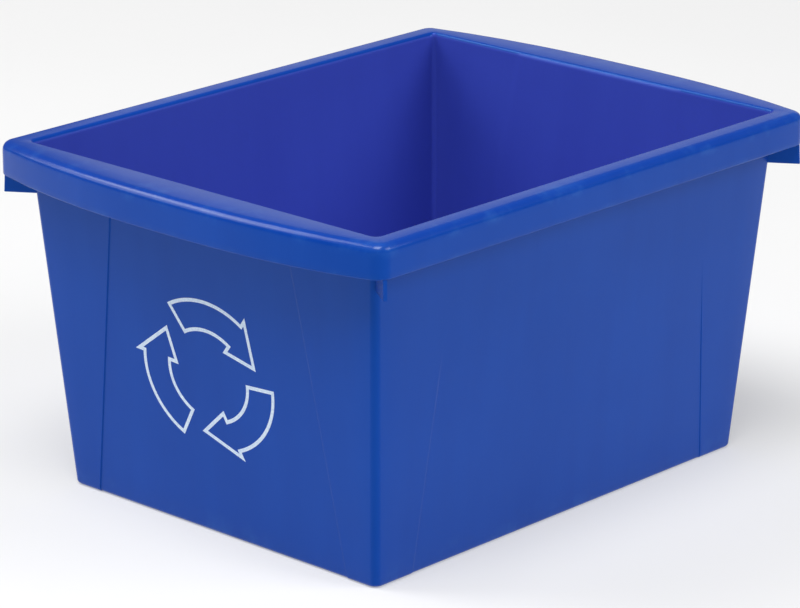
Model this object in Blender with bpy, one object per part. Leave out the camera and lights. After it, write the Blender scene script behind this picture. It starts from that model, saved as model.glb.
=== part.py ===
"""Open-topped desk-side recycling bin: one moulded shell and a printed three-arrow mark.

Frame: origin at the centre of the base, +X along the length, +Y across, +Z up.
Dimensions below are in millimetres; the mesh is built in metres.
"""
import math

import bmesh
import bpy
from mathutils import Vector

MM = 0.001

# Overall size
HEIGHT = 227.0
BASE_X = 169.5            # outer half length of the wall at the base
BASE_Y = 132.0            # outer half width of the wall at the base
DRAFT_X = 0.0775          # lean of the end walls, mm outward per mm of height
DRAFT_Y = 0.0740          # lean of the side walls
WALL = 2.0
WALL_CORNER = 5.0         # outer corner radius of the wall

# Rim: a flange with a skirt turned down from its outer edge
RIM_X = 197.5             # outer half length at the corners
RIM_Y = 163.7             # outer half width
RIM_CORNER = 8.5
GRIP_BOW = 16.0           # how far the end flanges bow out past the corners
BOW_POWER = 2.5
SKIRT_DEPTH = 21.0
GRIP_DROP = 2.2           # how much deeper the skirt is in the middle of an end
SKIRT_FOOT = 1.6          # skirt thickness at its free edge
HEM_BEVEL = 0.5
EDGE_ROUND = 5.5          # radius of the rim's outer edge
LIP_X = 2.0               # width of the rounded inner edge, ends and sides
LIP_Y = 3.2
LIP_DROP = 3.5
FLANGE_FILLET = 2.0       # between the wall and the flange's underside

# Each wall's middle panel is sunk between its corner zones
END_SINK = 1.0            # how deep an end wall's panel lies
SIDE_SINK = 0.6
INNER_SHARE = 0.5         # how much of that depth shows on the wall's inner face
PANEL_RUN = 0.7           # width of the steep step at the panel's edge
END_PANEL = 108.6         # half width of an end wall's panel at the base
END_TAPER = 0.161         # how much of it is lost per mm of height
SIDE_PANEL = 137.5
SIDE_TAPER = 0.108

# Base: a foot ring round a raised floor
FOOT_LIFT = 3.0
FOOT_WIDTH = 16.0
FOOT_SLOPE = 1.5          # how far the foot's inner side leans
BASE_ROUND = 2.6
FLOOR = 2.2
FLOOR_FILLET = 5.0
CHANNEL_EDGE = 2.0        # from the foot ring's inner side to the edge of the channel over it
RAISED_EDGE = 0.5         # from the same side to the edge of the raised floor

# Diagonal web below the flange at each corner
WEB_DROP = 34.0           # depth of its lower edge below the rim's top
WEB_THICK = 2.4
WEB_ROOT = 0.6            # how far it is sunk into the wall
WEB_RISE = 0.3            # how far it rises into the flange
WEB_TIP_TOP = 1.35        # gap from its outer end to the plain rim's corner, at its top
WEB_TIP = -0.3            # the same at its lower edge, which reaches the bowed skirt's face

# Printed mark on the -X end wall
MARK_Y = 1.0
MARK_Z = 105.0
MARK_STRETCH = 1.14
ARROWS = 3
ARROW_START = -34.0       # first tail, in degrees clockwise from the top
BAND_MID = 39.0
BAND_HALF = 10.5
HEAD_HALF = 16.5
ARROW_SPAN = 68.0         # degrees from tail to arrowhead
HEAD_SPAN = 37.0
STROKE = 2.4
PRINT_GAP = 0.3
PRINT_THICK = 0.4

CORNER_STEPS = 4
END_STEPS = 4
ARC_STEPS = 8

BLUE = (0.024, 0.083, 0.376)
BLUE_ROUGHNESS = 0.38
WHITE = (0.78, 0.84, 0.92)
WHITE_ROUGHNESS = 0.45
SHARP_ANGLE = math.radians(35.0)


def remove_everything():
    for obj in list(bpy.data.objects):
        bpy.data.objects.remove(obj, do_unlink=True)


def material(name, colour, roughness):
    mat = bpy.data.materials.new(name)
    mat.use_nodes = True
    shader = mat.node_tree.nodes["Principled BSDF"]
    shader.inputs["Base Color"].default_value = (*colour, 1.0)
    shader.inputs["Roughness"].default_value = roughness
    shader.inputs["Metallic"].default_value = 0.0
    return mat


def add_object(name, bm, mat=None):
    mesh = bpy.data.meshes.new(name)
    bm.to_mesh(mesh)
    bm.free()
    obj = bpy.data.objects.new(name, mesh)
    bpy.context.scene.collection.objects.link(obj)
    if mat:
        mesh.materials.append(mat)
    return obj


def wall_x(z):
    """Outer half length of the corner zones at height z."""
    return BASE_X + DRAFT_X * z


def wall_y(z):
    return BASE_Y + DRAFT_Y * z


def end_panel(z):
    """Half width of an end wall's sunk panel, wide at the base and narrower at the rim."""
    return END_PANEL - END_TAPER * z


def side_panel(z):
    return SIDE_PANEL - SIDE_TAPER * z


def bowed(y, half_y, bow):
    """Extra length of a bowed end at distance y from its middle."""
    return bow * (1.0 - min(1.0, abs(y) / half_y) ** BOW_POWER)


def ring(z, half_x, half_y, radius, bow=0.0, sink=0.0, drop=0.0):
    """One closed plan outline at height z, anticlockwise from the +X end's -Y corner.

    sink is the share of the panels' depth, bow and drop belong to the rim.
    """
    edge = min(end_panel(z), half_y - radius - PANEL_RUN)
    inner = edge - PANEL_RUN
    outer_mid = (edge + half_y - radius) / 2.0
    end = [(-outer_mid, 0.0), (-edge, 0.0)]
    end += [(inner * k / END_STEPS, -sink * END_SINK) for k in range(-END_STEPS, END_STEPS + 1)]
    end += [(edge, 0.0), (outer_mid, 0.0)]
    half = [(half_x + out + bowed(y, half_y, bow), y) for y, out in end]

    centre_x = half_x - radius
    centre_y = half_y - radius
    for k in range(CORNER_STEPS + 1):
        turn = math.pi / 2.0 * k / CORNER_STEPS
        y = centre_y + radius * math.sin(turn)
        half.append((centre_x + radius * math.cos(turn) + bowed(y, half_y, bow), y))

    edge = side_panel(z)
    inner = edge - PANEL_RUN
    depth = sink * SIDE_SINK
    side = [(edge, 0.0), (inner, -depth), (-inner, -depth), (-edge, 0.0)]
    half += [(x, half_y + out) for x, out in side]
    for k in range(CORNER_STEPS + 1):
        turn = math.pi / 2.0 * k / CORNER_STEPS
        y = centre_y + radius * math.cos(turn)
        half.append((-centre_x - radius * math.sin(turn) - bowed(y, half_y, bow), y))

    points = half + [(-x, -y) for x, y in half]
    return [Vector((x, y, z - bowed(y, half_y, drop))) * MM for x, y in points]


def wall_ring(z, inset=0.0, radius=WALL_CORNER, sink=0.0):
    """An outline of the wall at height z, inset from its outer face."""
    return ring(z, wall_x(z) - inset, wall_y(z) - inset, radius, sink=sink)


def rim_ring(z, inset, drop=0.0):
    """An outline of the bowed rim, inset from the skirt's outer face."""
    return ring(z, RIM_X - inset, RIM_Y - inset, RIM_CORNER - inset, bow=GRIP_BOW, drop=drop)


def foot_ring(z, inset):
    """An outline inset from the foot ring's inner side."""
    return ring(z, BASE_X - FOOT_WIDTH - inset, BASE_Y - FOOT_WIDTH - inset, WALL_CORNER)


def arc(*degrees):
    """Sine and cosine of each angle."""
    turns = [math.radians(angle) for angle in degrees]
    return [(math.sin(turn), math.cos(turn)) for turn in turns]


def shell_rings():
    """The shell's section, from the middle of the underside, over the rim, to the floor."""
    rings = [foot_ring(FOOT_LIFT, FOOT_SLOPE), foot_ring(0.0, 0.0)]
    for sine, cosine in arc(0.0, 45.0, 90.0):
        rings.append(wall_ring(BASE_ROUND * (1.0 - cosine), BASE_ROUND * (1.0 - sine), sink=1.0))

    # Up the wall to the flange, out below it, and down the inside of the skirt
    under = HEIGHT - WALL
    low = HEIGHT - EDGE_ROUND
    hem = HEIGHT - SKIRT_DEPTH
    rings.append(wall_ring(under - FLANGE_FILLET, sink=1.0))
    rings.append(wall_ring(under, -FLANGE_FILLET, WALL_CORNER + FLANGE_FILLET))
    rings.append(rim_ring(under, EDGE_ROUND))
    rings.append(rim_ring(low, WALL))
    rings.append(rim_ring(hem, SKIRT_FOOT, GRIP_DROP))
    rings.append(rim_ring(hem, HEM_BEVEL, GRIP_DROP))
    rings.append(rim_ring(hem + HEM_BEVEL, 0.0, GRIP_DROP))

    # Up the outside of the skirt and round the rim's outer edge
    for sine, cosine in arc(0.0, 30.0, 60.0, 90.0):
        rings.append(rim_ring(low + EDGE_ROUND * sine, EDGE_ROUND * (1.0 - cosine)))

    # Across the flange, round its inner edge and down the inside of the wall
    z = HEIGHT - LIP_DROP
    inner_x = wall_x(z) - WALL
    inner_y = wall_y(z) - WALL
    inner_corner = WALL_CORNER - WALL
    for sine, cosine in arc(0.0, 45.0, 90.0):
        out = 1.0 - sine
        rings.append(ring(z + LIP_DROP * cosine, inner_x + LIP_X * out, inner_y + LIP_Y * out,
                          inner_corner + LIP_Y * out, sink=0.0 if out else INNER_SHARE))

    # Fillet into the channel over the foot ring, then up to the raised floor
    for sine, cosine in arc(0.0, 45.0, 90.0):
        rings.append(wall_ring(FLOOR + FLOOR_FILLET * (1.0 - sine), WALL + FLOOR_FILLET * (1.0 - cosine),
                               inner_corner, sink=0.0 if sine else INNER_SHARE))
    rings.append(foot_ring(FLOOR, -CHANNEL_EDGE))
    rings.append(foot_ring(FLOOR + FOOT_LIFT, -RAISED_EDGE))
    return rings


def loft(rings):
    """Skin a list of rings with quads and close both ends with flat faces."""
    bm = bmesh.new()
    rows = [[bm.verts.new(point) for point in points] for points in rings]
    count = len(rows[0])
    for low, high in zip(rows, rows[1:]):
        for k in range(count):
            after = (k + 1) % count
            bm.faces.new((low[k], low[after], high[after], high[k]))
    bm.faces.new(reversed(rows[0]))
    bm.faces.new(rows[-1])
    bmesh.ops.recalc_face_normals(bm, faces=bm.faces)
    return bm


def corner_web(bm, side_x, side_y):
    """A vertical plate from one wall corner out to the skirt's corner."""
    rim_centre = Vector((RIM_X - RIM_CORNER, RIM_Y - RIM_CORNER))
    to_centre = Vector((WALL_CORNER, WALL_CORNER))
    way = (rim_centre - Vector((wall_x(HEIGHT), wall_y(HEIGHT))) + to_centre).normalized()
    across = Vector((-way.y, way.x)) * (WEB_THICK / 2.0)
    rows = []
    for z, tip in ((HEIGHT - WEB_DROP, WEB_TIP), (HEIGHT - WALL + WEB_RISE, WEB_TIP_TOP)):
        start = Vector((wall_x(z), wall_y(z))) - to_centre + way * (WALL_CORNER - WEB_ROOT)
        finish = rim_centre + way * (RIM_CORNER - tip)
        plan = (start - across, finish - across, finish + across, start + across)
        rows.append([bm.verts.new(Vector((side_x * p.x, side_y * p.y, z)) * MM) for p in plan])
    bottom, top = rows
    faces = [bm.faces.new(reversed(bottom)), bm.faces.new(top)]
    for k in range(4):
        after = (k + 1) % 4
        faces.append(bm.faces.new((bottom[k], bottom[after], top[after], top[k])))
    bmesh.ops.recalc_face_normals(bm, faces=faces)


def corner_webs():
    """All four corner webs, as one tool for a union."""
    bm = bmesh.new()
    for side_x in (-1, 1):
        for side_y in (-1, 1):
            corner_web(bm, side_x, side_y)
    return bm


def make_shell(blue):
    shell = add_object("bin_shell", loft(shell_rings()), blue)
    webs = add_object("corner_web_tool", corner_webs())
    webs.hide_render = True
    webs.display_type = "WIRE"
    union = shell.modifiers.new("corner webs", "BOOLEAN")
    union.operation = "UNION"
    union.solver = "EXACT"
    union.object = webs
    shell.data.shade_smooth()
    shell.data.set_sharp_from_angle(angle=SHARP_ANGLE)
    return shell


def arrow_outline(start):
    """A flat curved arrow as (right, up) points, its tail at start degrees clockwise from the top."""
    def polar(radius, degrees):
        turn = math.radians(degrees)
        return Vector((radius * math.sin(turn) * MARK_STRETCH, radius * math.cos(turn)))

    head = start + ARROW_SPAN
    points = [polar(BAND_MID + BAND_HALF, start + ARROW_SPAN * k / ARC_STEPS) for k in range(ARC_STEPS + 1)]
    points.append(polar(BAND_MID + HEAD_HALF, head))
    points.append(polar(BAND_MID, head + HEAD_SPAN))
    points.append(polar(BAND_MID - HEAD_HALF, head))
    points += [polar(BAND_MID - BAND_HALF, head - ARROW_SPAN * k / ARC_STEPS) for k in range(ARC_STEPS + 1)]
    return points


def inset(points, distance):
    """Move a clockwise outline inward by distance, keeping its corners sharp."""
    moved = []
    for before, here, after in zip(points[-1:] + points[:-1], points, points[1:] + points[:1]):
        first = (here - before).normalized()
        second = (after - here).normalized()
        normal_1 = Vector((first.y, -first.x))
        normal_2 = Vector((second.y, -second.x))
        moved.append(here + (normal_1 + normal_2) * (distance / (1.0 + normal_1.dot(normal_2))))
    return moved


def make_arrow(number, white):
    """One arrow of the mark: a thin outlined plate lying on the -X end wall."""
    lean = math.atan(DRAFT_X)
    outward = Vector((-math.cos(lean), 0.0, -math.sin(lean)))
    up = Vector((-math.sin(lean), 0.0, math.cos(lean)))
    right = Vector((0.0, -1.0, 0.0))
    centre = Vector((END_SINK - wall_x(MARK_Z), MARK_Y, MARK_Z))

    edge = arrow_outline(360.0 / ARROWS * number + ARROW_START)
    loops = []
    bm = bmesh.new()
    for lift in (PRINT_GAP, PRINT_GAP + PRINT_THICK):
        for outline in (edge, inset(edge, STROKE)):
            base = centre + outward * lift
            loops.append([bm.verts.new((base + right * p.x + up * p.y) * MM) for p in outline])
    under_outer, under_inner, top_outer, top_inner = loops
    count = len(edge)
    for k in range(count):
        after = (k + 1) % count
        for one, two in ((top_outer, top_inner), (top_inner, under_inner),
                         (under_inner, under_outer), (under_outer, top_outer)):
            bm.faces.new((one[k], one[after], two[after], two[k]))
    bmesh.ops.recalc_face_normals(bm, faces=bm.faces)
    return add_object(f"print_arrow_{number + 1}", bm, white)


def main():
    remove_everything()
    blue = material("blue_polypropylene", BLUE, BLUE_ROUGHNESS)
    white = material("white_print", WHITE, WHITE_ROUGHNESS)
    make_shell(blue)
    for number in range(ARROWS):
        make_arrow(number, white)


main()
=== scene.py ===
"""Looks for the open-topped recycling bin: a finely moulded shell, its printed mark and a studio.

The bin's lengths are in millimetres, and become metres when a mesh is made. The frame is the
CAD's own: origin at the centre of the base, +X along the length, +Y across, +Z up.
"""

import math

import bmesh
import bpy
from mathutils import Matrix, Vector


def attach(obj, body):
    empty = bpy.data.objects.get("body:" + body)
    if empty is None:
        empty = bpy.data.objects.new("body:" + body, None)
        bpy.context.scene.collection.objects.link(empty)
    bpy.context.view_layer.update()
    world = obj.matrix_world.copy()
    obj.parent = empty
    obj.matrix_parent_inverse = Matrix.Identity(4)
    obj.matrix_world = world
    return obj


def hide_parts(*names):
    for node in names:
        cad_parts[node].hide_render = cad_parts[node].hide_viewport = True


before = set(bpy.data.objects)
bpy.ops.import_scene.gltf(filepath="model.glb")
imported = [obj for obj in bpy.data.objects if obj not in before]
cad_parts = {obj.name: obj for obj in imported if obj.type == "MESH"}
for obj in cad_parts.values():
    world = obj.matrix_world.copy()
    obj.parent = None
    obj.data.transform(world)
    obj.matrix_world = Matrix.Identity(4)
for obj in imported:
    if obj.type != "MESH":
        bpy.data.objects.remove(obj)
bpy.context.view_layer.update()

MM = 0.001

# The shell's sizes, as in the CAD
HEIGHT = 227.0
BASE_X = 169.5
BASE_Y = 132.0
DRAFT_X = 0.0775
DRAFT_Y = 0.0740
WALL = 2.0
WALL_CORNER = 5.0
RIM_X = 197.5
RIM_Y = 163.7
RIM_CORNER = 8.5
GRIP_BOW = 16.0
BOW_POWER = 2.5
GRIP_DROP = 2.2           # how much lower the hem hangs in the middle of a grip
SKIRT_DEPTH = 21.0
SKIRT_FOOT = 1.6
EDGE_ROUND = 5.5
LIP_X = 2.0
LIP_Y = 3.2
LIP_DROP = 3.5
PANEL_RUN = 0.7           # width of a panel's step
END_PANEL = 108.6
END_TAPER = 0.161
SIDE_PANEL = 137.5
SIDE_TAPER = 0.108
FOOT_LIFT = 3.0
FOOT_WIDTH = 16.0
FOOT_SLOPE = 1.5
BASE_ROUND = 2.6
FLOOR = 2.2
FLOOR_FILLET = 5.0
FLANGE_FILLET = 2.0
WEB_DROP = 34.0
WEB_THICK = 2.4
WEB_ROOT = 0.6
WEB_RISE = 0.3
WEB_TIP_TOP = 1.35
WEB_TIP = -0.3

# Finer moulded detail
HEM_ROUND = 0.7
SKIRT_BELLY = (8.0, 1.8)  # a place on the skirt's inner face: height over the hem, and thickness
FOOT_CREASE = 1.0         # width of the slope between the raised underside and the foot's side
FOOT_CREASE_DROP = 0.3
# Section down the foot's inner side to its bottom: height, and distance out from the side
FOOT_SIDE = ((0.8, -0.3), (0.24, 0.1), (0.0, 0.8))
# Section from the channel up to the raised floor: rise, and distance out from the foot's side
CHANNEL_SIDE = ((0.0, 2.4), (0.25, 1.9), (2.75, 0.7), (3.0, 0.2))
WEB_ROUND = 0.5
END_SINK = 0.7            # depth of the end walls' panels, to which the sag adds
SIDE_SINK = 0.5
SIDE_FADE_FROM = 75.0     # heights between which the side panels' steps fade out
SIDE_FADE_TO = 145.0
INNER_SHARE = 0.5         # share of a panel's depth that shows on the wall's inner face
INNER_RUN = 7.0           # width of a panel's step on the inner face
WALL_SAG = 0.5            # how far the middle of a wall is drawn in as it cools
FLOOR_HUB = 12.0          # radius of the circle that the floor's rings run in to
GATE_RECESS = 7.0         # radius of the recess round the moulding gate, under the floor
GATE_SLOPE = 0.5          # how far its side leans in
GATE_DEPTH = 0.6
GATE_NUB = 1.7
GATE_NUB_TOP = 1.02       # radius of the nub's flat end
GATE_TALL = 0.35          # how far the nub stands proud of the underside
GATE_BEVEL = 0.2
GATE_MARGIN = 0.3         # width of the slope from the recess to the underside

# Zones for the materials
OUT_OF_WALL = 3.0         # a point this far outside the wall's face is on the rim
RIM_RUBBED = 7.5          # depth of the rubbed zone below the rim's top
HEM_RUBBED = 2.0          # and its height over the hem
HEM_WEAR = 0.7            # how much of the wear the hem gets
RUBBED_BASE = 7.0         # height of the rubbed zone round the base
BEND_TOP = 0.1            # depths below the rim's top between which its outer bend is polished
BEND_FOOT = 3.2
INNER_FACE = 1.75         # depth in the wall beyond which a point is on its inner face
FLOOR_SLACK = 0.5         # how far below the floor's face an inside point may be

# Printed mark on the -X end wall
MARK_Y = 1.0
MARK_Z = 105.0
MARK_STRETCH = 1.14
ARROWS = 3
ARROW_START = -34.0
BAND_MID = 39.0
BAND_HALF = 10.5
HEAD_HALF = 16.5
ARROW_SPAN = 68.0
HEAD_SPAN = 37.0
STROKE = 2.4
INK_GAP = 0.02
INK_THICK = 0.06

# Looks of the two blues: the tint of their sheen, and how much smoother than satin they are
BODY_TINT = (0.15, 0.50, 1.0, 1.0)
BODY_POLISH = 0.0
BEND_TINT = (0.80, 0.85, 0.90, 1.0)
BEND_POLISH = 0.05

# Mesh density, and the angle from which an edge is shaded sharp
SHARP_ANGLE = math.radians(32.0)
CORNER_STEPS = 9
STEP_STEPS = 6
STEP_FLANK = 0.4          # width of the short span beside a panel's step
ZONE_STEPS = 3
END_STEPS = 20
SIDE_STEPS = 12
WALL_STEPS = 16
ROUND_STEPS = 7
FILLET_STEPS = 4
BEND_STEPS = 5
HEM_STEPS = 3
SKIRT_STEPS = 4
WEB_STEPS = 3
ARC_STEPS = 28

# Camera: where it stands seen from the bin's middle, and how far off the middle it aims
LENS = 180.9
AZIMUTH = -47.04
ELEVATION = 18.2
DISTANCE = 2562.5
AIM_RIGHT = -4.44
AIM_UP = -4.46

# Studio, in metres and watts apart from the gap
# Lights: name, direction from the bin, distance, width, height and power
SOFT_BOXES = (("top_box", (-0.334, -0.170, 0.927), 5.0, 2.6, 2.6, 178.0),
              ("edge_box", (-0.335, 0.579, 0.743), 5.0, 2.4, 2.4, 74.0),
              ("left_box", (-0.497, 0.709, 0.500), 5.0, 2.6, 2.6, 52.0),
              ("right_box", (0.331, -0.781, 0.530), 5.0, 2.6, 2.6, 98.0),
              ("back_box", (0.819, 0.512, 0.259), 5.4, 3.4, 1.7, 7.0))
LIGHT_AIM = 0.12          # height of the point that the lights face
WORLD = 0.15
FLOOR_RADIUS = 14.0
FLOOR_SIDES = 96
FLOOR_GLOW = 0.35
FLOOR_GAP = 0.2           # millimetres between the foot ring and the floor


# ---------------------------------------------------------------- the shell

def wall_x(z):
    """Outer half length of the corner zones at height z."""
    return BASE_X + DRAFT_X * z


def wall_y(z):
    return BASE_Y + DRAFT_Y * z


def smooth(t):
    t = min(1.0, max(0.0, t))
    return t * t * (3.0 - 2.0 * t)


def spread(first, last, steps):
    """Evenly spaced values from first up to, but without, last."""
    return [first + (last - first) * k / steps for k in range(steps)]


def along_wall(limit, edge, run, middle_steps):
    """Places across one wall from -limit to limit, closer together at the panel's two steps.

    A short span on both sides of a step keeps its slope out of the flat faces' shading.
    """
    inner = edge - run
    places = spread(-limit, -edge - STEP_FLANK, ZONE_STEPS) + [-edge - STEP_FLANK]
    places += spread(-edge, -inner, STEP_STEPS) + [-inner]
    places += spread(STEP_FLANK - inner, inner - STEP_FLANK, middle_steps) + [inner - STEP_FLANK]
    places += spread(inner, edge, STEP_STEPS) + [edge]
    return places + spread(edge + STEP_FLANK, limit, ZONE_STEPS)


def draw_in(u, half, z, edge, depth, run=PANEL_RUN):
    """How far a wall lies inside its corner zones: the panel, sunk by depth, and a slight sag."""
    panel = depth * smooth((edge - abs(u)) / run)
    across = max(0.0, math.cos(math.pi * u / (2.0 * half)))
    return panel + WALL_SAG * across * math.sin(math.pi * min(1.0, max(0.0, z / HEIGHT)))


def bowed(y, half_y, bow):
    """Extra length of a bowed end at distance y from its middle."""
    return bow * (1.0 - min(1.0, abs(y) / half_y) ** BOW_POWER)


def ring(z, half_x, half_y, radius, bow=0.0, sink=0.0, drop=0.0, inner=False):
    """One closed plan outline at height z.

    sink is how much of the walls' draw-in it has; inner is for the shallower panels inside.
    """
    share = INNER_SHARE if inner else 1.0
    run = INNER_RUN if inner else PANEL_RUN
    limit_x = half_x - radius
    limit_y = half_y - radius
    end_edge = min(END_PANEL - END_TAPER * z, limit_y - PANEL_RUN)
    side_edge = SIDE_PANEL - SIDE_TAPER * z
    half = []
    for y in along_wall(limit_y, end_edge, run, END_STEPS):
        depth = draw_in(y, half_y, z, end_edge, END_SINK * share, run)
        half.append((half_x + bowed(y, half_y, bow) - sink * depth, y))
    for turn in spread(0.0, math.pi / 2.0, CORNER_STEPS):
        y = limit_y + radius * math.sin(turn)
        half.append((limit_x + radius * math.cos(turn) + bowed(y, half_y, bow), y))
    side_share = share * smooth((SIDE_FADE_TO - z) / (SIDE_FADE_TO - SIDE_FADE_FROM))
    for x in along_wall(limit_x, side_edge, run, SIDE_STEPS):
        depth = draw_in(x, half_x, z, side_edge, SIDE_SINK * side_share, run)
        half.append((-x, half_y - sink * depth))
    for turn in spread(0.0, math.pi / 2.0, CORNER_STEPS):
        y = limit_y + radius * math.cos(turn)
        half.append((-limit_x - radius * math.sin(turn) - bowed(y, half_y, bow), y))
    points = half + [(-x, -y) for x, y in half]
    return [Vector((x, y, z - bowed(y, half_y, drop))) for x, y in points]


def shrunk(outline, radius, share, z):
    """An outline drawn towards a circle round the middle: share 0 is the circle, 1 the outline."""
    points = []
    for point in outline:
        flat = Vector((point.x, point.y, 0.0))
        spot = flat.normalized() * radius
        points.append(spot.lerp(flat, share) + Vector((0.0, 0.0, z)))
    return points


def wall_ring(z, inset=0.0, radius=WALL_CORNER, sink=1.0, inner=False):
    return ring(z, wall_x(z) - inset, wall_y(z) - inset, radius, sink=sink, inner=inner)


def rim_ring(z, inset):
    """An outline of the bowed rim, lower in the middle of the grips the nearer it is to the hem."""
    share = min(1.0, max(0.0, (HEIGHT - EDGE_ROUND - z) / (SKIRT_DEPTH - EDGE_ROUND)))
    return ring(z, RIM_X - inset, RIM_Y - inset, RIM_CORNER - inset, bow=GRIP_BOW,
                drop=GRIP_DROP * share)


def quarter(steps=ROUND_STEPS):
    """Sine and cosine of the turns from 0 to a right angle, both ends included."""
    turns = [math.pi / 2.0 * k / steps for k in range(steps + 1)]
    return [(math.sin(turn), math.cos(turn)) for turn in turns]


def underside_rings():
    """From the gate mark in the middle of the underside out to the bottom of the foot ring."""
    foot_x = BASE_X - FOOT_WIDTH
    foot_y = BASE_Y - FOOT_WIDTH
    slope_x = foot_x - FOOT_SLOPE
    slope_y = foot_y - FOOT_SLOPE
    edge = ring(FOOT_LIFT, slope_x - FOOT_CREASE, slope_y - FOOT_CREASE, WALL_CORNER)
    deep = FOOT_LIFT + GATE_DEPTH
    nub = FOOT_LIFT - GATE_TALL
    gate = ((GATE_NUB_TOP, nub), (GATE_NUB, nub + GATE_BEVEL), (GATE_NUB, deep),
            (GATE_RECESS - GATE_SLOPE, deep), (GATE_RECESS, FOOT_LIFT + GATE_BEVEL),
            (GATE_RECESS + GATE_MARGIN, FOOT_LIFT))
    rings = [shrunk(edge, radius, 0.0, z) for radius, z in gate]
    rings += [shrunk(edge, GATE_RECESS + GATE_MARGIN, share, FOOT_LIFT) for share in (0.3, 0.65)]
    rings.append(edge)
    rings.append(ring(FOOT_LIFT - FOOT_CREASE_DROP, slope_x, slope_y, WALL_CORNER))
    for z, out in FOOT_SIDE:
        rings.append(ring(z, foot_x + out, foot_y + out, WALL_CORNER))
    return rings


def outside_rings():
    """Up the outside of the wall, out below the flange and down the inside of the skirt."""
    rings = []
    for sine, cosine in quarter():
        z = BASE_ROUND * (1.0 - cosine)
        rings.append(wall_ring(z, inset=BASE_ROUND * (1.0 - sine)))
    under = HEIGHT - WALL
    top = under - FLANGE_FILLET
    rings += [wall_ring(z) for z in spread(BASE_ROUND, top, WALL_STEPS)[1:]]
    for sine, cosine in quarter(FILLET_STEPS):
        z = top + FLANGE_FILLET * sine
        rings.append(wall_ring(z, inset=-FLANGE_FILLET * (1.0 - cosine),
                               radius=WALL_CORNER + FLANGE_FILLET * (1.0 - cosine), sink=cosine))
    bend = EDGE_ROUND - WALL
    for sine, cosine in quarter(BEND_STEPS):
        rings.append(rim_ring(under - bend * (1.0 - cosine), EDGE_ROUND - bend * sine))
    hem = HEIGHT - SKIRT_DEPTH
    rise, thickness = SKIRT_BELLY
    rings.append(rim_ring(hem + rise, thickness))
    for sine, cosine in quarter(HEM_STEPS):
        inset = SKIRT_FOOT - HEM_ROUND * (1.0 - cosine)
        rings.append(rim_ring(hem + HEM_ROUND * (1.0 - sine), inset))
    for sine, cosine in quarter(HEM_STEPS):
        rings.append(rim_ring(hem + HEM_ROUND * (1.0 - cosine), HEM_ROUND * (1.0 - sine)))
    return rings


def rim_rings():
    """Up the outside of the skirt, round its edge, over the flange and down its inner lip."""
    low = HEIGHT - EDGE_ROUND
    rings = [rim_ring(z, 0.0) for z in spread(HEIGHT - SKIRT_DEPTH, low, SKIRT_STEPS)[1:]]
    for sine, cosine in quarter():
        rings.append(rim_ring(low + EDGE_ROUND * sine, EDGE_ROUND * (1.0 - cosine)))
    z = HEIGHT - LIP_DROP
    inner_x = wall_x(z) - WALL
    inner_y = wall_y(z) - WALL
    for sine, cosine in quarter():
        out = 1.0 - sine
        rings.append(ring(z + LIP_DROP * cosine, inner_x + LIP_X * out, inner_y + LIP_Y * out,
                          WALL_CORNER - WALL + LIP_Y * out, sink=sine ** 4, inner=True))
    return rings


def inside_rings():
    """Down the inside of the wall, through the channel over the foot ring and over the floor."""
    corner = WALL_CORNER - WALL
    low = FLOOR + FLOOR_FILLET
    rings = [wall_ring(z, WALL, corner, inner=True)
             for z in spread(HEIGHT - LIP_DROP, low, WALL_STEPS)[1:]]
    for sine, cosine in quarter():
        z = FLOOR + FLOOR_FILLET * (1.0 - sine)
        rings.append(wall_ring(z, WALL + FLOOR_FILLET * (1.0 - cosine), corner, cosine, inner=True))
    foot_x = BASE_X - FOOT_WIDTH
    foot_y = BASE_Y - FOOT_WIDTH
    for rise, out in CHANNEL_SIDE:
        rings.append(ring(FLOOR + rise, foot_x + out, foot_y + out, WALL_CORNER))
    floor = ring(FLOOR + FOOT_LIFT, foot_x, foot_y, WALL_CORNER)
    rings += [shrunk(floor, FLOOR_HUB, share, FLOOR + FOOT_LIFT) for share in (0.8, 0.5, 0.2, 0.0)]
    return rings


def loft(rings):
    """Skin a list of rings with quads and close both ends with flat faces."""
    bm = bmesh.new()
    rows = [[bm.verts.new(point * MM) for point in points] for points in rings]
    count = len(rows[0])
    for low, high in zip(rows, rows[1:]):
        for k in range(count):
            after = (k + 1) % count
            bm.faces.new((low[k], low[after], high[after], high[k]))
    bm.faces.new(reversed(rows[0]))
    bm.faces.new(rows[-1])
    bmesh.ops.recalc_face_normals(bm, faces=bm.faces)
    return bm


def corner_web(side_x, side_y):
    """A vertical plate from one wall corner out to the skirt's corner, its lower edge rounded."""
    bm = bmesh.new()
    rim_centre = Vector((RIM_X - RIM_CORNER, RIM_Y - RIM_CORNER))
    to_centre = Vector((WALL_CORNER, WALL_CORNER))
    way = (rim_centre - Vector((wall_x(HEIGHT), wall_y(HEIGHT))) + to_centre).normalized()
    across = Vector((-way.y, way.x)) * (WEB_THICK / 2.0)
    rows = []
    for z, tip in ((HEIGHT - WEB_DROP, WEB_TIP), (HEIGHT - WALL + WEB_RISE, WEB_TIP_TOP)):
        start = Vector((wall_x(z), wall_y(z))) - to_centre + way * (WALL_CORNER - WEB_ROOT)
        finish = rim_centre + way * (RIM_CORNER - tip)
        plan = (start - across, finish - across, finish + across, start + across)
        rows.append([bm.verts.new(Vector((side_x * p.x, side_y * p.y, z)) * MM) for p in plan])
    bottom, top = rows
    bm.faces.new(reversed(bottom))
    bm.faces.new(top)
    for k in range(4):
        after = (k + 1) % 4
        bm.faces.new((bottom[k], bottom[after], top[after], top[k]))
    bmesh.ops.recalc_face_normals(bm, faces=bm.faces)
    low_edges = [bm.edges.get((bottom[k], bottom[(k + 1) % 4])) for k in range(3)]
    bmesh.ops.bevel(bm, geom=low_edges, offset=WEB_ROUND * MM, segments=WEB_STEPS, profile=0.5,
                    affect="EDGES")
    return bm


# ---------------------------------------------------------------- the printed mark

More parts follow.
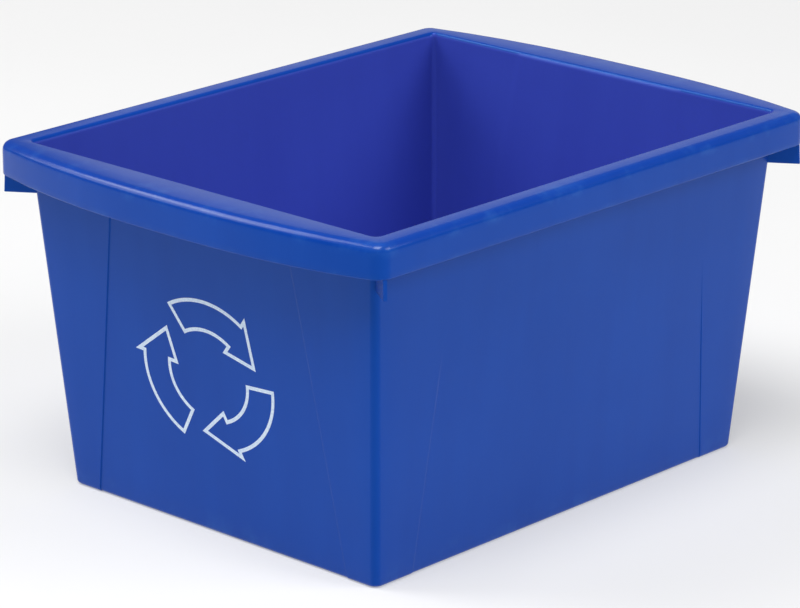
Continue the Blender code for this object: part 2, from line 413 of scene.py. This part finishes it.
def end_wall_face(y, z):
    """Outer face of the -X end wall, as x."""
    edge = END_PANEL - END_TAPER * z
    return draw_in(y, wall_y(z), z, edge, END_SINK) - wall_x(z)


def arrow_outline(start):
    """A curved arrow as (right, up) points, its tail at start degrees clockwise from the top."""
    def polar(radius, degrees):
        turn = math.radians(degrees)
        return Vector((radius * math.sin(turn) * MARK_STRETCH, radius * math.cos(turn)))

    head = start + ARROW_SPAN
    turns = [ARROW_SPAN * k / ARC_STEPS for k in range(ARC_STEPS + 1)]
    points = [polar(BAND_MID + BAND_HALF, start + turn) for turn in turns]
    points.append(polar(BAND_MID + HEAD_HALF, head))
    points.append(polar(BAND_MID, head + HEAD_SPAN))
    points.append(polar(BAND_MID - HEAD_HALF, head))
    points += [polar(BAND_MID - BAND_HALF, head - turn) for turn in turns]
    return points


def inset(points, distance):
    """Move a clockwise outline inward by distance, keeping its corners sharp."""
    moved = []
    for before, here, after in zip(points[-1:] + points[:-1], points, points[1:] + points[:1]):
        first = (here - before).normalized()
        second = (after - here).normalized()
        normal_1 = Vector((first.y, -first.x))
        normal_2 = Vector((second.y, -second.x))
        moved.append(here + (normal_1 + normal_2) * (distance / (1.0 + normal_1.dot(normal_2))))
    return moved


def print_line(number):
    """One arrow of the mark as a closed line of ink that follows the wall."""
    lean = math.cos(math.atan(DRAFT_X))
    edge = arrow_outline(360.0 / ARROWS * number + ARROW_START)
    bm = bmesh.new()
    loops = []
    for lift in (INK_GAP, INK_GAP + INK_THICK):
        for outline in (edge, inset(edge, STROKE)):
            loop = []
            for p in outline:
                y = MARK_Y - p.x
                z = MARK_Z + p.y * lean
                loop.append(bm.verts.new(Vector((end_wall_face(y, z) - lift, y, z)) * MM))
            loops.append(loop)
    under_outer, under_inner, top_outer, top_inner = loops
    count = len(edge)
    for k in range(count):
        after = (k + 1) % count
        for one, two in ((top_outer, top_inner), (top_inner, under_inner),
                         (under_inner, under_outer), (under_outer, top_outer)):
            bm.faces.new((one[k], one[after], two[after], two[k]))
    bmesh.ops.recalc_face_normals(bm, faces=bm.faces)
    return bm


# ---------------------------------------------------------------- materials

class Nodes:
    """A short way to build a node material: names a node, sets its inputs and links it."""

    def __init__(self, name):
        self.material = bpy.data.materials.new(name)
        self.material.use_nodes = True
        self.tree = self.material.node_tree
        self.shader = self.tree.nodes["Principled BSDF"]
        place = self.tree.nodes.new("ShaderNodeTexCoord")
        self.place = place.outputs["Object"]

    def add(self, kind, settings=None, **inputs):
        node = self.tree.nodes.new("ShaderNode" + kind)
        for key, value in (settings or {}).items():
            setattr(node, key, value)
        for key, value in inputs.items():
            self.put(node, key.replace("_", " "), value)
        return node

    def put(self, node, key, value):
        if isinstance(value, bpy.types.NodeSocket):
            self.tree.links.new(value, node.inputs[key])
        else:
            node.inputs[key].default_value = value

    def noise(self, scale, detail=2.0, roughness=0.5, place=None):
        node = self.add("TexNoise", Vector=place or self.place, Scale=scale, Detail=detail,
                        Roughness=roughness)
        return node.outputs["Fac"]

    def stretch(self, x, y, z):
        """The object's own coordinates, scaled along each axis."""
        node = self.add("Mapping", Vector=self.place, Scale=(x, y, z))
        return node.outputs["Vector"]

    def span(self, value, low, high, to_low, to_high):
        """Takes value from low..high to to_low..to_high, and holds it there."""
        node = self.add("MapRange", Value=value)
        for key, number in (("From Min", low), ("From Max", high),
                            ("To Min", to_low), ("To Max", to_high)):
            node.inputs[key].default_value = number
        return node.outputs["Result"]

    def math(self, operation, a, b):
        node = self.tree.nodes.new("ShaderNodeMath")
        node.operation = operation
        self.put(node, 0, a)
        self.put(node, 1, b)
        return node.outputs[0]

    def mix(self, amount, a, b):
        """A colour between a and b."""
        node = self.tree.nodes.new("ShaderNodeMix")
        node.data_type = "RGBA"
        for key, value in ((0, amount), (6, a), (7, b)):
            self.put(node, key, value)
        return node.outputs[2]

    def bump(self, height, distance, strength, below=None):
        node = self.add("Bump", Height=height, Distance=distance, Strength=strength)
        if below:
            self.tree.links.new(below, node.inputs["Normal"])
        return node.outputs["Normal"]


def moulded_blue(name, tint, polish):
    """The bin's plastic: tint colours its sheen, and polish is taken off its roughness."""
    n = Nodes(name)
    # Pigment: broad clouds, and faint flow streaks that run up the walls from the gate
    clouds = n.noise(9.0, 3.0)
    streaks = n.noise(5.0, 4.0, 0.6, n.stretch(9.0, 9.0, 0.8))
    tone = n.math("ADD", n.math("MULTIPLY", clouds, 0.6), n.math("MULTIPLY", streaks, 0.4))
    amount = n.span(tone, 0.35, 0.65, 0.0, 1.0)
    outer = n.mix(amount, (0.0024, 0.046, 0.345, 1.0), (0.0036, 0.055, 0.385, 1.0))
    # The inner faces get a brighter, more violet copy of the blue: painted light, standing in for
    # the light that bounces round inside the bin.
    inner = n.mix(amount, (0.0460, 0.072, 0.460, 1.0), (0.0500, 0.080, 0.490, 1.0))
    blue = n.mix(n.add("Attribute", {"attribute_name": "inside"}).outputs["Fac"], outer, inner)
    # Handling: rubbed patches on the edges, and hair scratches in them
    edge = n.add("Attribute", {"attribute_name": "edge"}).outputs["Fac"]
    patches = n.span(n.noise(55.0, 5.0, 0.62), 0.50, 0.72, 0.0, 1.0)
    rubbed = n.math("MULTIPLY", edge, patches)
    colour = n.mix(n.math("MULTIPLY", rubbed, 0.35), blue, (0.035, 0.14, 0.50, 1.0))
    scratches = n.span(n.noise(30.0, 2.0, 0.5, n.stretch(1.0, 1.0, 14.0)), 0.66, 0.74, 0.0, 1.0)
    n.put(n.shader, "Base Color", colour)

    satin = n.span(n.noise(14.0, 4.0), 0.3, 0.7, 0.215 - polish, 0.27 - polish)
    rough = n.math("SUBTRACT", satin, n.math("MULTIPLY", rubbed, 0.04))
    n.put(n.shader, "Roughness", n.math("SUBTRACT", rough, n.math("MULTIPLY", scratches, 0.03)))
    n.put(n.shader, "Specular IOR Level", 0.4)
    n.put(n.shader, "Specular Tint", tint)

    # Relief: long waves from cooling, the tool's soft orange peel and its fine spark grain
    waves = n.bump(n.noise(28.0, 1.0), 0.0004, 0.35)
    peel = n.bump(n.noise(420.0, 2.0), 0.00006, 0.5, waves)
    grain = n.bump(n.noise(1900.0, 2.0), 0.00002, 0.6, peel)
    n.put(n.shader, "Normal", grain)
    return n.material


def screen_ink():
    n = Nodes("white_screen_ink")
    cover = n.span(n.noise(700.0, 3.0, 0.6), 0.30, 0.60, 0.0, 1.0)
    thin = n.span(n.noise(60.0, 3.0), 0.35, 0.65, 0.82, 1.0)
    colour = n.mix(n.math("MULTIPLY", cover, thin), (0.54, 0.68, 0.93, 1.0),
                   (0.75, 0.87, 0.99, 1.0))
    n.put(n.shader, "Base Color", colour)
    n.put(n.shader, "Roughness", n.span(n.noise(300.0, 2.0), 0.3, 0.7, 0.42, 0.56))
    n.put(n.shader, "Specular IOR Level", 0.35)
    n.put(n.shader, "Normal", n.bump(n.noise(1500.0, 2.0), 0.00002, 0.5))
    return n.material


def studio_floor():
    n = Nodes("pale_floor")
    shade = n.span(n.noise(1.4, 2.0), 0.3, 0.7, 0.0, 1.0)
    n.put(n.shader, "Base Color", n.mix(shade, (0.52, 0.52, 0.52, 1.0), (0.54, 0.54, 0.54, 1.0)))
    n.put(n.shader, "Roughness", n.span(n.noise(40.0, 2.0), 0.3, 0.7, 0.75, 0.9))
    n.put(n.shader, "Specular IOR Level", 0.1)
    n.put(n.shader, "Emission Color", (1.0, 1.0, 1.0, 1.0))
    n.put(n.shader, "Emission Strength", FLOOR_GLOW)
    return n.material


# ---------------------------------------------------------------- pieces

def add_object(name, bm, material=None):
    mesh = bpy.data.meshes.new(name)
    bm.to_mesh(mesh)
    bm.free()
    obj = bpy.data.objects.new(name, mesh)
    bpy.context.scene.collection.objects.link(obj)
    if material:
        mesh.materials.append(material)
    return obj


def show(obj, node):
    """Lets obj ride on the fixed body and stand for one CAD node."""
    obj.data.shade_smooth()
    obj.data.set_sharp_from_angle(angle=SHARP_ANGLE)
    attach(obj, "root")
    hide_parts(node)


def unite(obj, tools):
    """Fuse closed tool meshes into obj, and remove the tools."""
    for tool in tools:
        union = obj.modifiers.new("union", "BOOLEAN")
        union.operation = "UNION"
        union.solver = "EXACT"
        union.object = tool
    graph = bpy.context.evaluated_depsgraph_get()
    mesh = bpy.data.meshes.new_from_object(obj.evaluated_get(graph))
    obj.modifiers.clear()
    obj.data = mesh
    for tool in tools:
        bpy.data.objects.remove(tool, do_unlink=True)


def mark_zones(obj):
    """Stores two values at each point: edge, on the parts that get rubbed, and inside, on the inner
    faces, which get the blue with painted light.

    The faces of the rim's outer bend get the object's second material.
    """
    edge = obj.data.attributes.new("edge", "FLOAT", "POINT")
    inside = obj.data.attributes.new("inside", "FLOAT", "POINT")
    bend = set()
    for k, vertex in enumerate(obj.data.vertices):
        x, y, z = (abs(c) / MM for c in vertex.co)
        outer = x > wall_x(z) + OUT_OF_WALL or y > wall_y(z) + OUT_OF_WALL
        if outer and z > HEIGHT - RIM_RUBBED:
            edge.data[k].value = 1.0
            if BEND_TOP < HEIGHT - z < BEND_FOOT:
                bend.add(k)
        elif outer and z < HEIGHT - SKIRT_DEPTH + HEM_RUBBED:
            edge.data[k].value = HEM_WEAR
        elif z < RUBBED_BASE:
            edge.data[k].value = 1.0 - z / RUBBED_BASE
        within = x < wall_x(z) - INNER_FACE and y < wall_y(z) - INNER_FACE
        over_foot = x > BASE_X - FOOT_WIDTH or y > BASE_Y - FOOT_WIDTH
        low = FLOOR if over_foot else FLOOR + FOOT_LIFT
        inside.data[k].value = 1.0 if within and z > low - FLOOR_SLACK else 0.0
    for face in obj.data.polygons:
        if bend.issuperset(face.vertices):
            face.material_index = 1


def build_bin():
    rings = underside_rings() + outside_rings() + rim_rings() + inside_rings()
    blue = moulded_blue("blue_polypropylene", BODY_TINT, BODY_POLISH)
    shell = add_object("moulded_shell", loft(rings), blue)
    shell.data.materials.append(moulded_blue("polished_bend", BEND_TINT, BEND_POLISH))
    unite(shell, [add_object("web", corner_web(x, y)) for x in (-1, 1) for y in (-1, 1)])
    mark_zones(shell)
    show(shell, "bin_shell")
    ink = screen_ink()
    for number in range(ARROWS):
        line = add_object(f"print_line_{number + 1}", print_line(number), ink)
        show(line, f"print_arrow_{number + 1}")


# ---------------------------------------------------------------- studio

def build_floor():
    bm = bmesh.new()
    bmesh.ops.create_circle(bm, cap_ends=True, segments=FLOOR_SIDES, radius=FLOOR_RADIUS)
    floor = add_object("studio_floor", bm, studio_floor())
    floor.location.z = -FLOOR_GAP * MM


def facing(direction, place):
    turn = (-direction).to_track_quat("-Z", "Y").to_matrix().to_4x4()
    return Matrix.Translation(place) @ turn


def build_camera():
    a = math.radians(AZIMUTH)
    e = math.radians(ELEVATION)
    back = Vector((math.sin(a) * math.cos(e), -math.cos(a) * math.cos(e), math.sin(e)))
    right = Vector((math.cos(a), math.sin(a), 0.0))
    aim = Vector((0.0, 0.0, HEIGHT / 2.0)) + right * AIM_RIGHT + back.cross(right) * AIM_UP
    data = bpy.data.cameras.new("camera")
    data.lens = LENS
    data.sensor_width = 36.0
    data.clip_start = 0.1
    data.clip_end = 60.0
    camera = bpy.data.objects.new("camera", data)
    bpy.context.scene.collection.objects.link(camera)
    camera.matrix_world = facing(back, (aim + back * DISTANCE) * MM)
    bpy.context.scene.camera = camera


def soft_box(name, direction, distance, width, height, power):
    """A rectangular area light that faces the bin from that direction."""
    data = bpy.data.lights.new(name, "AREA")
    data.shape = "RECTANGLE"
    data.size = width
    data.size_y = height
    data.energy = power
    light = bpy.data.objects.new(name, data)
    bpy.context.scene.collection.objects.link(light)
    way = Vector(direction).normalized()
    light.matrix_world = facing(way, Vector((0.0, 0.0, LIGHT_AIM)) + way * distance)


def build_world():
    world = bpy.data.worlds.new("studio")
    bpy.context.scene.world = world
    world.use_nodes = True
    world.node_tree.nodes["Background"].inputs["Color"].default_value = (1.0, 1.0, 1.0, 1.0)
    world.node_tree.nodes["Background"].inputs["Strength"].default_value = WORLD


def build_studio():
    build_floor()
    build_camera()
    build_world()
    for box in SOFT_BOXES:
        soft_box(*box)
    bpy.context.scene.view_settings.view_transform = "Standard"


build_bin()
build_studio()
